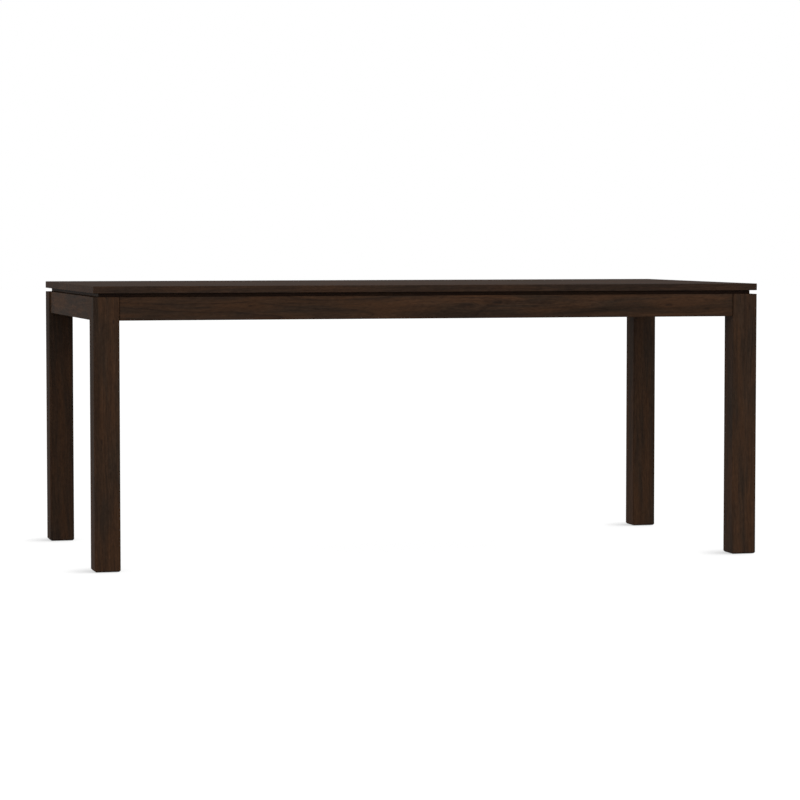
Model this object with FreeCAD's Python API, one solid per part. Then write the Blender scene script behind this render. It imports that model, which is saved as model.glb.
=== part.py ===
import FreeCAD, Part
import math
import os

# Parsons dining table in solid hardwood: an edge-glued top that floats on a recessed
# spacer frame, over a base of square legs and plain aprons.
#
# Millimetres. X runs along the table, Y across it and +Z is up. The origin is on the
# floor under the middle of the top. The front is the -Y side and the left the -X side.
#
# The base knocks down: two hanger bolts draw each leg into its corner through a block
# that is tongued and glued into the aprons. The spacer frame is glued along the aprons
# and cross rails, and screws through its slots hold the top, so that the top can shrink
# and swell across its grain.

# --- Driving dimensions -------------------------------------------------------------

TABLE_LENGTH = 1875.0
TABLE_WIDTH = 910.0
TABLE_HEIGHT = 762.0

# Top: boards glued edge to edge, with the two outer boards trimmed to the width.
TOP_THICKNESS = 19.0
TOP_BOARD_WIDTH = 130.0
TOP_EDGE_CHAMFER = 1.0

# Shadow gap between the top and the base, filled further in by the spacer frame.
GAP_HEIGHT = 10.0
GAP_DEPTH = 16.0
SPACER_WIDTH = 60.0
CROSS_SPACER_WIDTH = 72.0

LEG_SIZE = 70.0
LEG_EDGE_ROUND = 3.0
LEG_FOOT_CHAMFER = 4.0

APRON_HEIGHT = 62.5
APRON_THICKNESS = 25.0
APRON_SETBACK = 4.0
APRON_EDGE_CHAMFER = 1.5

# Cross rails tie the long aprons together and carry the middle of the top.
CROSS_RAIL_COUNT = 2
CROSS_RAIL_THICKNESS = 25.0
CROSS_RAIL_HEIGHT = 50.0
CROSS_RAIL_EDGE_CHAMFER = 1.5
DOVETAIL_NECK = 12.0
DOVETAIL_DEPTH = 10.0
DOVETAIL_SLOPE = 1.0 / 6.0

# Corner blocks. LEG_FLAT is how far the leg's inner corner is cut back along each side,
# from just below the block, and the flat runs out behind the apron.
LEG_FLAT = 14.0
LEG_FLAT_BELOW_BLOCK = 1.0
LEG_FLAT_RUNOUT = 3.0
BLOCK_THICKNESS = 28.0
BLOCK_TO_LEG_GAP = 6.0
BLOCK_RAISED = 6.0
BLOCK_EDGE_CHAMFER = 2.0
TONGUE_WIDTH = 8.0
TONGUE_LENGTH = 6.0
TONGUE_FROM_TOE = 20.0

# Hanger bolts and nuts, with a two-hole plate washer under each leg's pair of nuts.
BOLT_DIAMETER = 8.0
BOLT_PITCH = 26.0
BOLT_BITE = 38.0
BOLT_TAIL = 4.0
BOLT_HOLE_CLEARANCE = 0.5
NUT_ACROSS_FLATS = 13.0
NUT_THICKNESS = 6.5
PLATE_WASHER_WIDTH = 20.0
PLATE_WASHER_THICKNESS = 1.6

# Washer-head screws hold the top through slots that lie across the grain.
TOP_SCREW_DIAMETER = 4.8
TOP_SCREW_HEAD_DIAMETER = 12.0
TOP_SCREW_HEAD_HEIGHT = 2.6
TOP_SCREW_BITE = 12.0
TOP_SCREWS_PER_RAIL = 2
TOP_SLOT_LENGTH = 11.0
TOP_SLOT_CLEARANCE = 0.6

# Foot glides: a nylon disc glued into a shallow seat in the foot.
GLIDE_DIAMETER = 30.0
GLIDE_THICKNESS = 5.0
GLIDE_PROUD = 1.5

# Running room left round tongues, dovetails, screws, bolts and glides.
FIT_CLEARANCE = 0.1

# --- Levels and places worked out from them -----------------------------------------

HALF_LENGTH = TABLE_LENGTH / 2
HALF_WIDTH = TABLE_WIDTH / 2
TOP_UNDERSIDE = TABLE_HEIGHT - TOP_THICKNESS
BASE_TOP = TOP_UNDERSIDE - GAP_HEIGHT
APRON_BOTTOM = BASE_TOP - APRON_HEIGHT
APRON_INNER = APRON_SETBACK + APRON_THICKNESS
SPACER_INNER = GAP_DEPTH + SPACER_WIDTH
ROOT_2 = math.sqrt(2)

# Distances along the diagonal of a corner, from the outer corner of the leg.
FLAT_REACH = (2 * LEG_SIZE - LEG_FLAT) / ROOT_2
BLOCK_NEAR = FLAT_REACH + BLOCK_TO_LEG_GAP
BLOCK_FAR = BLOCK_NEAR + BLOCK_THICKNESS
WASHER_FAR = BLOCK_FAR + PLATE_WASHER_THICKNESS
NUT_FAR = WASHER_FAR + NUT_THICKNESS

# Where the block's near and far faces meet the apron, along the apron.
BLOCK_TOE = BLOCK_NEAR * ROOT_2 - APRON_INNER
BLOCK_HEEL = BLOCK_FAR * ROOT_2 - APRON_INNER
BLOCK_BOTTOM = APRON_BOTTOM + BLOCK_RAISED
BLOCK_MIDDLE = (BLOCK_BOTTOM + BASE_TOP) / 2
TONGUE_CENTRE = BLOCK_TOE + TONGUE_FROM_TOE

# The end rails' screws run down the middle of what the spacer shows inside the apron.
TOP_SCREW_INSET = (APRON_INNER + SPACER_INNER) / 2

CORNERS = {
    "front_left": (-1, -1),
    "front_right": (1, -1),
    "back_left": (-1, 1),
    "back_right": (1, 1),
}
LENGTHWISE = FreeCAD.Vector(1, 0, 0)
CROSSWISE = FreeCAD.Vector(0, 1, 0)
UP = FreeCAD.Vector(0, 0, 1)
DOWN = FreeCAD.Vector(0, 0, -1)
PAST = 1.0  # how far a cutting solid runs past the face that it opens
SAME_PLACE = 1e-6  # two levels or directions this near to each other are one


# --- Small tools --------------------------------------------------------------------

def block(x0, x1, y0, y1, z0, z1):
    """A box between two corners, given in any order."""
    low = FreeCAD.Vector(min(x0, x1), min(y0, y1), min(z0, z1))
    return Part.makeBox(abs(x1 - x0), abs(y1 - y0), abs(z1 - z0), low)


def prism(points, travel):
    """A flat outline swept along a vector."""
    wire = Part.makePolygon(points + [points[0]])
    return Part.Face(wire).extrude(travel)


def rod(diameter, length, start, direction):
    return Part.makeCylinder(diameter / 2, length, start, direction)


def straight_edges(shape, wanted):
    """The straight edges that wanted(middle, direction) picks."""
    chosen = []
    for edge in shape.Edges:
        if edge.Curve.TypeId != "Part::GeomLine":
            continue
        direction = edge.Vertexes[-1].Point - edge.Vertexes[0].Point
        if wanted(edge.CenterOfMass, direction.normalize()):
            chosen.append(edge)
    return chosen


def lower_edges(shape, level, axis):
    """The edges along an axis that lie at a level."""
    return straight_edges(
        shape, lambda middle, direction: near(middle.z, level) and along(direction, axis))


def along(direction, axis):
    return direction.cross(axis).Length < SAME_PLACE


def near(a, b):
    return abs(a - b) < SAME_PLACE


def place(corner, u, v, z):
    """A point given from a corner of the table: u inward along X, v inward along Y."""
    side_x, side_y = CORNERS[corner]
    return FreeCAD.Vector(side_x * (HALF_LENGTH - u), side_y * (HALF_WIDTH - v), z)


def inward(corner, u, v):
    """A direction given in the same corner frame."""
    side_x, side_y = CORNERS[corner]
    return FreeCAD.Vector(-side_x * u, -side_y * v, 0)


def on_diagonal(corner, reach, z):
    return place(corner, reach / ROOT_2, reach / ROOT_2, z)


def diagonal(corner):
    return inward(corner, 1 / ROOT_2, 1 / ROOT_2)


def across_diagonal(corner):
    return inward(corner, 1 / ROOT_2, -1 / ROOT_2)


def save(name, shapes):
    """Writes one node, from one solid or from a group of separate ones."""
    group = shapes if isinstance(shapes, list) else [shapes]
    whole = group[0] if len(group) == 1 else Part.makeCompound(group)
    whole.exportStep(f"parts/{name}.step")
    print(f"{name}: {len(whole.Solids)} solid(s), {whole.Volume / 1000:.1f} cm3")


# --- Where the repeated pieces go ---------------------------------------------------

def board_edges():
    """The Y of every joint in the top, with its two outer edges."""
    full = math.ceil(TABLE_WIDTH / TOP_BOARD_WIDTH - SAME_PLACE) - 2
    half = full * TOP_BOARD_WIDTH / 2
    joints = [TOP_BOARD_WIDTH * n - half for n in range(full + 1)]
    return [-HALF_WIDTH] + joints + [HALF_WIDTH]


def full_board_centres():
    edges = board_edges()
    return [(edges[n] + edges[n + 1]) / 2 for n in range(1, len(edges) - 2)]


def cross_rail_places():
    """The X of each cross rail, which divide the long aprons evenly."""
    clear = TABLE_LENGTH - 2 * LEG_SIZE
    bay = clear / (CROSS_RAIL_COUNT + 1)
    return [bay * n - clear / 2 for n in range(1, CROSS_RAIL_COUNT + 1)]


def screw_boards():
    """The Y of each screw in a row: the middles of full boards, spread over the width."""
    centres = full_board_centres()
    last = len(centres) - 1
    wanted = min(TOP_SCREWS_PER_RAIL, len(centres))
    if wanted == 1:
        return [centres[last // 2]]
    return [centres[round(last * n / (wanted - 1))] for n in range(wanted)]


def top_screw_places():
    """The X and Y of each screw that goes up into the top, by the spacer it passes."""
    end = HALF_LENGTH - TOP_SCREW_INSET
    rows = {"front": [], "back": []}
    rows["left"] = [(-end, y) for y in screw_boards()]
    rows["right"] = [(end, y) for y in screw_boards()]
    beside = (CROSS_SPACER_WIDTH + CROSS_RAIL_THICKNESS) / 4
    for number, rail in enumerate(cross_rail_places(), start=1):
        side = beside
        rows[f"cross_{number}"] = []
        for y in screw_boards():
            rows[f"cross_{number}"].append((rail + side, y))
            side = -side
    return rows


def every(rows):
    return [spot for row in rows.values() for spot in row]


# --- Fastenings ---------------------------------------------------------------------

def drilled_for(diameter, length, start, direction):
    """The hole that takes a shank of this size, open at the face it starts from."""
    size = diameter + 2 * FIT_CLEARANCE
    hole = rod(size, length + FIT_CLEARANCE, start, direction)
    return hole.fuse(rod(size, PAST, start, direction * -1))


def top_screw(x, y):
    """Sits with its washer head against the spacer's underside."""
    seat = FreeCAD.Vector(x, y, BASE_TOP)
    head = rod(TOP_SCREW_HEAD_DIAMETER, TOP_SCREW_HEAD_HEIGHT, seat, DOWN)
    return head.fuse(rod(TOP_SCREW_DIAMETER, GAP_HEIGHT + TOP_SCREW_BITE, seat, UP))


def plate_washer(corner, hole):
    """A plate across the corner block's far face, with a hole for each bolt."""
    half_width = across_diagonal(corner) * (PLATE_WASHER_WIDTH / 2)
    heights = bolt_heights()
    bottom = on_diagonal(corner, BLOCK_FAR, heights[0] - PLATE_WASHER_WIDTH / 2)
    top = on_diagonal(corner, BLOCK_FAR, heights[-1] + PLATE_WASHER_WIDTH / 2)
    outline = [bottom - half_width, bottom + half_width, top + half_width, top - half_width]
    plate = prism(outline, diagonal(corner) * PLATE_WASHER_THICKNESS)
    return plate.cut([rod(hole, PLATE_WASHER_THICKNESS, on_diagonal(corner, BLOCK_FAR, z),
                          diagonal(corner)) for z in heights])


def hex_nut(across_flats, hole, thickness, start, direction):
    radius = across_flats / math.sqrt(3)
    points = []
    for n in range(6):
        angle = math.radians(60 * n)
        points.append(FreeCAD.Vector(radius * math.cos(angle), radius * math.sin(angle), 0))
    nut = prism(points, UP * thickness)
    nut = nut.cut(rod(hole, thickness, FreeCAD.Vector(0, 0, 0), UP))
    nut.Placement = FreeCAD.Placement(start, FreeCAD.Rotation(UP, direction))
    return nut


def bolt_heights():
    return [BLOCK_MIDDLE - BOLT_PITCH / 2, BLOCK_MIDDLE + BOLT_PITCH / 2]


# --- The top ------------------------------------------------------------------------

def top_slab():
    """The whole top, chamfered and drilled, before it is divided into its boards."""
    slab = block(-HALF_LENGTH, HALF_LENGTH, -HALF_WIDTH, HALF_WIDTH,
                 TOP_UNDERSIDE, TABLE_HEIGHT)
    slab = slab.makeChamfer(TOP_EDGE_CHAMFER, slab.Edges)
    holes = [
        drilled_for(TOP_SCREW_DIAMETER, TOP_SCREW_BITE,
                    FreeCAD.Vector(x, y, TOP_UNDERSIDE), UP)
        for x, y in every(top_screw_places())
    ]
    return slab.cut(holes)


def build_top():
    slab = top_slab()
    edges = board_edges()
    for number in range(len(edges) - 1):
        front = edges[number] - (PAST if number == 0 else 0)
        back = edges[number + 1] + (PAST if number == len(edges) - 2 else 0)
        strip = block(-HALF_LENGTH - PAST, HALF_LENGTH + PAST, front, back,
                      TOP_UNDERSIDE - PAST, TABLE_HEIGHT + PAST)
        save(f"top_board_{number + 1}", slab.common(strip))


# --- The spacer frame ---------------------------------------------------------------

def slot(x, y):
    """A square-ended slot for a top screw, long across the grain of the top."""
    half_width = TOP_SCREW_DIAMETER / 2 + TOP_SLOT_CLEARANCE
    half_length = TOP_SLOT_LENGTH / 2
    return block(x - half_width, x + half_width, y - half_length, y + half_length,
                 BASE_TOP - PAST, TOP_UNDERSIDE + PAST)


def slotted(piece, name):
    places = top_screw_places()[name]
    return piece.cut([slot(x, y) for x, y in places]) if places else piece


def spacer_outline(name):
    """A rail of the frame, seen from above, with its ends mitred."""
    start, end = {
        "front": ("front_left", "front_right"),
        "back": ("back_left", "back_right"),
        "left": ("front_left", "back_left"),
        "right": ("front_right", "back_right"),
    }[name]
    return [
        place(start, GAP_DEPTH, GAP_DEPTH, BASE_TOP),
        place(end, GAP_DEPTH, GAP_DEPTH, BASE_TOP),
        place(end, SPACER_INNER, SPACER_INNER, BASE_TOP),
        place(start, SPACER_INNER, SPACER_INNER, BASE_TOP),
    ]


def build_spacers():
    for name in ("front", "back", "left", "right"):
        rail = prism(spacer_outline(name), UP * GAP_HEIGHT)
        save(f"spacer_rail_{name}", slotted(rail, name))
    reach = HALF_WIDTH - SPACER_INNER
    for number, x in enumerate(cross_rail_places(), start=1):
        strip = block(x - CROSS_SPACER_WIDTH / 2, x + CROSS_SPACER_WIDTH / 2,
                      -reach, reach, BASE_TOP, TOP_UNDERSIDE)
        save(f"cross_spacer_{number}", slotted(strip, f"cross_{number}"))


# --- The base -----------------------------------------------------------------------

def leg_flat_cutter(corner):
    """Cuts the leg's inner corner to a flat for the bolts, with a slope below it."""
    low = BLOCK_BOTTOM - LEG_FLAT_BELOW_BLOCK
    far = FLAT_REACH + LEG_FLAT
    side = across_diagonal(corner) * LEG_SIZE
    outline = [
        on_diagonal(corner, FLAT_REACH, low) - side,
        on_diagonal(corner, FLAT_REACH, BASE_TOP + PAST) - side,
        on_diagonal(corner, far, BASE_TOP + PAST) - side,
        on_diagonal(corner, far, low - LEG_FLAT_RUNOUT) - side,
    ]
    return prism(outline, side * 2)


def leg(corner):
    """A post with its arrises rounded and its foot chamfered, cut and drilled for its bolts."""
    first = place(corner, 0, 0, GLIDE_PROUD)
    last = place(corner, LEG_SIZE, LEG_SIZE, BASE_TOP)
    post = block(first.x, last.x, first.y, last.y, first.z, last.z)
    arrises = straight_edges(post, lambda middle, direction: along(direction, UP))
    foot = [edge for edge in post.Edges if near(edge.BoundBox.ZMax, first.z)]
    rounded = post.makeFillet(LEG_EDGE_ROUND, arrises)
    post = rounded.common(post.makeChamfer(LEG_FOOT_CHAMFER, foot))
    middle = place(corner, LEG_SIZE / 2, LEG_SIZE / 2, 0)
    glide_seat = rod(GLIDE_DIAMETER + 2 * FIT_CLEARANCE, GLIDE_THICKNESS, middle, UP)
    bolt_holes = [
        drilled_for(BOLT_DIAMETER, BOLT_BITE, on_diagonal(corner, FLAT_REACH, z),
                    diagonal(corner) * -1)
        for z in bolt_heights()
    ]
    return post.cut([leg_flat_cutter(corner), glide_seat] + bolt_holes)


def dado(corner, lengthwise):
    """The groove in an apron that takes a corner block's tongue."""
    half = TONGUE_WIDTH / 2 + FIT_CLEARANCE
    deep = APRON_INNER - TONGUE_LENGTH - FIT_CLEARANCE
    a = (TONGUE_CENTRE - half, APRON_INNER + PAST)
    b = (TONGUE_CENTRE + half, deep)
    if not lengthwise:
        a, b = a[::-1], b[::-1]
    first = place(corner, a[0], a[1], APRON_BOTTOM - PAST)
    last = place(corner, b[0], b[1], BASE_TOP + PAST)
    return block(first.x, last.x, first.y, last.y, first.z, last.z)


def dovetail(x, side_y, room):
    """A dovetail on a cross rail's end, or its socket when given room."""
    neck = DOVETAIL_NECK / 2 + room
    root = HALF_WIDTH - APRON_INNER
    end = root + DOVETAIL_DEPTH + room
    wide = neck + DOVETAIL_DEPTH * DOVETAIL_SLOPE
    start = root - (PAST if room else 0)
    low = BASE_TOP - CROSS_RAIL_HEIGHT
    outline = [
        FreeCAD.Vector(x - neck, side_y * start, low),
        FreeCAD.Vector(x + neck, side_y * start, low),
        FreeCAD.Vector(x + neck, side_y * root, low),
        FreeCAD.Vector(x + wide, side_y * end, low),
        FreeCAD.Vector(x - wide, side_y * end, low),
        FreeCAD.Vector(x - neck, side_y * root, low),
    ]
    if not room:
        outline = outline[2:]
    return prism(outline, UP * (CROSS_RAIL_HEIGHT + (PAST if room else 0)))


def apron_edges(rail, axis, face):
    """The edges to chamfer: the two lower ones, and the two ends of the face that shows.

    face is how far the face that shows lies from the middle of the table.
    """
    def wanted(middle, direction):
        lower = near(middle.z, APRON_BOTTOM) and along(direction, axis)
        shows = near(abs(middle.dot(axis.cross(UP))), face)
        return lower or (shows and along(direction, UP))
    return straight_edges(rail, wanted)


def long_apron(side_y):
    name = "front" if side_y < 0 else "back"
    reach = HALF_LENGTH - LEG_SIZE
    rail = block(-reach, reach, side_y * (HALF_WIDTH - APRON_SETBACK),
                 side_y * (HALF_WIDTH - APRON_INNER), APRON_BOTTOM, BASE_TOP)
    edges = apron_edges(rail, LENGTHWISE, HALF_WIDTH - APRON_SETBACK)
    rail = rail.makeChamfer(APRON_EDGE_CHAMFER, edges)
    grooves = [dado(f"{name}_left", True), dado(f"{name}_right", True)]
    sockets = [dovetail(x, side_y, FIT_CLEARANCE) for x in cross_rail_places()]
    return rail.cut(grooves + sockets)


def end_apron(side_x):
    name = "left" if side_x < 0 else "right"
    reach = HALF_WIDTH - LEG_SIZE
    rail = block(side_x * (HALF_LENGTH - APRON_SETBACK), side_x * (HALF_LENGTH - APRON_INNER),
                 -reach, reach, APRON_BOTTOM, BASE_TOP)
    edges = apron_edges(rail, CROSSWISE, HALF_LENGTH - APRON_SETBACK)
    rail = rail.makeChamfer(APRON_EDGE_CHAMFER, edges)
    return rail.cut([dado(f"front_{name}", False), dado(f"back_{name}", False)])


def cross_rail(x):
    """A rail on edge, with a dovetail at each end."""
    reach = HALF_WIDTH - APRON_INNER
    low = BASE_TOP - CROSS_RAIL_HEIGHT
    rail = block(x - CROSS_RAIL_THICKNESS / 2, x + CROSS_RAIL_THICKNESS / 2,
                 -reach, reach, low, BASE_TOP)
    rail = rail.makeChamfer(CROSS_RAIL_EDGE_CHAMFER, lower_edges(rail, low, CROSSWISE))
    return rail.fuse([dovetail(x, side_y, 0) for side_y in (-1, 1)]).removeSplitter()


def corner_block(corner):
    """A mitred block across the corner, tongued into both aprons."""
    half = TONGUE_WIDTH / 2
    tip = APRON_INNER - TONGUE_LENGTH
    one_end = [
        (BLOCK_TOE, APRON_INNER),
        (TONGUE_CENTRE - half, APRON_INNER),
        (TONGUE_CENTRE - half, tip),
        (TONGUE_CENTRE + half, tip),
        (TONGUE_CENTRE + half, APRON_INNER),
        (BLOCK_HEEL, APRON_INNER),
    ]
    outline = one_end + [(v, u) for u, v in reversed(one_end)]
    brace = prism([place(corner, u, v, BLOCK_BOTTOM) for u, v in outline],
                  UP * (BASE_TOP - BLOCK_BOTTOM))
    brace = brace.makeChamfer(
        BLOCK_EDGE_CHAMFER, lower_edges(brace, BLOCK_BOTTOM, across_diagonal(corner)))
    tools = []
    for z in bolt_heights():
        start = on_diagonal(corner, BLOCK_NEAR - PAST, z)
        tools.append(rod(BOLT_DIAMETER + 2 * BOLT_HOLE_CLEARANCE, BLOCK_THICKNESS + 2 * PAST,
                         start, diagonal(corner)))
    return brace.cut(tools)


def build_base():
    for corner in CORNERS:
        save(f"leg_{corner}", leg(corner))
        save(f"corner_block_{corner}", corner_block(corner))
    save("apron_front", long_apron(-1))
    save("apron_back", long_apron(1))
    save("apron_left", end_apron(-1))
    save("apron_right", end_apron(1))
    for number, x in enumerate(cross_rail_places(), start=1):
        save(f"cross_rail_{number}", cross_rail(x))


# --- Feet and fastenings ------------------------------------------------------------

def glide(corner):
    middle = place(corner, LEG_SIZE / 2, LEG_SIZE / 2, 0)
    return rod(GLIDE_DIAMETER, GLIDE_THICKNESS, middle, UP)


def hanger_bolt(corner, z):
    """Screwed into the leg at one end, with a nut on the other, and no head."""
    length = BOLT_BITE + NUT_FAR + BOLT_TAIL - FLAT_REACH
    tail = on_diagonal(corner, NUT_FAR + BOLT_TAIL, z)
    return rod(BOLT_DIAMETER, length, tail, diagonal(corner) * -1)


def build_fittings():
    bolts, nuts, washers = [], [], []
    bolt_hole = BOLT_DIAMETER + 2 * FIT_CLEARANCE
    for corner in CORNERS:
        washers.append(plate_washer(corner, bolt_hole))
        for z in bolt_heights():
            bolts.append(hanger_bolt(corner, z))
            nuts.append(hex_nut(NUT_ACROSS_FLATS, bolt_hole, NUT_THICKNESS,
                                on_diagonal(corner, WASHER_FAR, z), diagonal(corner)))
    save("foot_glides", [glide(corner) for corner in CORNERS])
    save("hanger_bolts", bolts)
    save("leg_nuts", nuts)
    save("leg_washers", washers)
    save("top_screws", [top_screw(x, y) for x, y in every(top_screw_places())])


def main():
    os.makedirs("parts", exist_ok=True)
    build_top()
    build_spacers()
    build_base()
    build_fittings()


main()
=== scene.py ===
import math
from collections import namedtuple

import bmesh
import bpy
from mathutils import Euler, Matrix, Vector


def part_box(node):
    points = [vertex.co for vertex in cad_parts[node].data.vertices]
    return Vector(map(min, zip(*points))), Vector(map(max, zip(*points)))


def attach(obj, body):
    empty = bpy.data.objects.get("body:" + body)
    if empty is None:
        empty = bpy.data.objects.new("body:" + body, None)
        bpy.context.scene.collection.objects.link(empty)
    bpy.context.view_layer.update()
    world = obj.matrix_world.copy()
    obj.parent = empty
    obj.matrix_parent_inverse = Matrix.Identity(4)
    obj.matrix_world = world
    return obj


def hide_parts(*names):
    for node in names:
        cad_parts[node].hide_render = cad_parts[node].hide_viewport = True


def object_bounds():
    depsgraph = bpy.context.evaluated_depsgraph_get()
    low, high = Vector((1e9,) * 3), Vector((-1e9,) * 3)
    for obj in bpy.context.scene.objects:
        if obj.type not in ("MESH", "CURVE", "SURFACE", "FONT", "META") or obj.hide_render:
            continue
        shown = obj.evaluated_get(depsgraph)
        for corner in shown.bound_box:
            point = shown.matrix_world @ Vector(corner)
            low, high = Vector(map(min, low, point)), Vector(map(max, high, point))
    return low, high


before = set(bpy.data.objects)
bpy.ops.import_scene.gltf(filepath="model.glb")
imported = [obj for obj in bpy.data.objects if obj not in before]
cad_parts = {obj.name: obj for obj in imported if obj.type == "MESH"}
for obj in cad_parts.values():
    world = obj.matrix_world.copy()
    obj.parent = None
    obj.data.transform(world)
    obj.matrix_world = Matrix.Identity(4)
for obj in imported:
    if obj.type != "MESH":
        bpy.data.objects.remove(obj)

# A dining table in espresso-stained walnut: a thin top that floats on a dark spacer
# frame, four square legs and plain aprons, with its corner blocks and bolts below.
#
# Sizes of wood and hardware are in millimetres of the real thing, and MM makes them
# metres. The camera, the light and the floor are in metres.

CAD_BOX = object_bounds()
MM = 0.001

# --- The camera -------------------------------------------------------------------------

CAMERA_PLACE = (-2.1326, -8.1681, 0.8960)
CAMERA_DOWN = math.radians(3.205)
CAMERA_TURN = math.radians(-14.772)
SENSOR_WIDTH = 36.0
LENS = 132.08

# --- The light and the floor ------------------------------------------------------------
#
# The camera sees a white floor and a white sky. The light itself meets a mid-grey floor,
# so that little of it comes up from below, and the sky is brightest at its horizon.

SKY_AT_HORIZON = 2.12
SKY_OVERHEAD = 0.68
FLOOR_HALF = 40.0
FLOOR_COLOUR = "#959595"
FLOOR_SEEN_COLOUR = "#6E6E6E"

# What the camera sees of the floor also glows, which brings it up to white. Close to a
# foot, on one side, it glows less. That is a painted contact shadow, drawn from ambient
# occlusion turned towards one way as if a lamp stood there.
FLOOR_GLOW = 0.892
CONTACT_GLOW = 0.60
CONTACT_REACH = 0.085
# The way the painted contact shadow is turned from: it falls on the far side of each foot.
PAINTED_SHADOW_FROM = (0.8, -0.5, 0.33)
CONTACT_CLOSED = 0.5
CONTACT_OPEN = 0.95
OPEN_AIR_SAMPLES = 8

# --- The marks in the wood --------------------------------------------------------------
#
# Each kind of mark is a noise, stretched to the mark's real length with the grain and
# its width across it, with finer marks in it where its detail is above 1. A BY says how
# strongly a kind works: the first two in millimetres sideways, the others as a share of
# the wood's brightness. Real pores are about 0.2 mm wide and real fibres finer still, too
# fine to show, so both are drawn as coarse as they need to be.

Marks = namedtuple("Marks", "length width detail roughness", defaults=(1.0, 0.5))

WANDER = Marks(length=330.0, width=60.0)
WANDER_BY = 22.0
WAVE = Marks(length=95.0, width=22.0)
WAVE_BY = 4.0
PATCH = Marks(length=240.0, width=34.0, detail=2.0, roughness=0.55)
STREAK = Marks(length=150.0, width=6.5, detail=4.0, roughness=0.55)
FLECK = Marks(length=24.0, width=3.0, detail=2.0)
PORE = Marks(length=9.0, width=0.6)
FIBRE = Marks(length=50.0, width=1.8, detail=3.0, roughness=0.6)
FIBRE_BY = 0.6
MOTTLE = Marks(length=15.0, width=3.2)
MOTTLE_BY = 0.65
DRIFT = Marks(length=1100.0, width=240.0)
DRIFT_BY = 0.35

# A noise runs from 0 to 1 and is mostly near 0.5. A mark is where it passes from the
# first of these to the second, and the share is how far a full one goes to its own tone.
NOISE_MIDDLE = (0.5, 0.5, 0.5)
WARM_PATCH = (0.38, 0.62)
PALE_STREAK = (0.50, 0.75)
PALE_SHARE = 0.42
DARK_STREAK = (0.48, 0.28)
DARK_SHARE = 0.48
DARK_FLECK = (0.44, 0.30)
FLECK_SHARE = 0.3
OPEN_PORE = (0.40, 0.30)
PORE_SHARE = 0.3
CLOUD = (0.35, 0.65)

# A year's ring: how dark it is at each part of its width, from the pith outwards, and
# how dark the darkest years are. Most years are faint, and a few stand out.
RING_PITCH = 4.2
RING = ((0.0, 0.3), (0.12, 0.0), (0.5, 0.1), (0.9, 1.0), (1.0, 0.3))
RING_SHARE = 0.7
FEW_STRONG = 2.0

# A knot is drawn out with the grain, and parts the fibres softly round its dark heart.
KNOT_SQUEEZE = 0.3
KNOT_SOFTNESS = 0.3
KNOT_SHARE = 0.6

# A broad band is full to the first share of its size, and has faded out at the second.
# It moves the ground between grey and warm, and its brightness with it.
BAND_FULL = 0.3
BAND_GONE = 1.5
BAND_TINT = 0.15
BAND_BY = 0.2

# The fibres' ridges on planed wood, in millimetres, and how rough it is in its dark
# streaks, with how much rougher in its pale ones.
RIDGE = 0.1
RIDGE_STRENGTH = 0.5
LACQUERED_ROUGH = (0.5, 0.2)
PLANED_ROUGH = (0.7, 0.1)
PLANED_SHINE = 0.3

# How closed in a corner is where the painted shade starts, and where it is darkest.
CORNER_SHADE_OPEN = 0.9
CORNER_SHADE_CLOSED = 0.35

# --- The wood of each piece -------------------------------------------------------------

Tones = namedtuple("Tones", "cool warm dark pale")
Lacquer = namedtuple("Lacquer", "weight roughness")
Crevice = namedtuple("Crevice", "reach brightness")
Finish = namedtuple("Finish", "name tones lacquer crevice")
Sawn = namedtuple("Sawn", "grain pith along depth")
Knot = namedtuple("Knot", "along across radius")
Band = namedtuple("Band", "along across length width amount")

BASE_TONES = Tones(cool="#2F241C", warm="#3C291C", dark="#221914", pale="#4A3425")
TOP_TONES = Tones(cool="#2F241D", warm="#39281D", dark="#221914", pale="#493426")
SPACER_TONES = Tones(cool="#37241A", warm="#3C2819", dark="#2A1B12", pale="#452F1E")
POPLAR_TONES = Tones(cool="#BFAD86", warm="#CCB289", dark="#9C8961", pale="#DCC8A0")

SATIN = Lacquer(weight=0.045, roughness=0.22)
TOP_SATIN = Lacquer(weight=0.05, roughness=0.22)
# How far the painted shade reaches from a corner, in millimetres, and how bright the wood is in
# the corner itself.
DEEP_RECESS_SHADE = Crevice(reach=14.0, brightness=0.4)
TIGHT_CORNER_SHADE = Crevice(reach=3.5, brightness=0.5)

STAINED = {
    "espresso_wood_top": Finish("espresso_walnut_top", TOP_TONES, TOP_SATIN, DEEP_RECESS_SHADE),
    "espresso_wood_base": Finish("espresso_walnut_base", BASE_TONES, SATIN, TIGHT_CORNER_SHADE),
    "dark_stained_spacer": Finish("espresso_walnut_spacer", SPACER_TONES, SATIN, DEEP_RECESS_SHADE),
}

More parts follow.
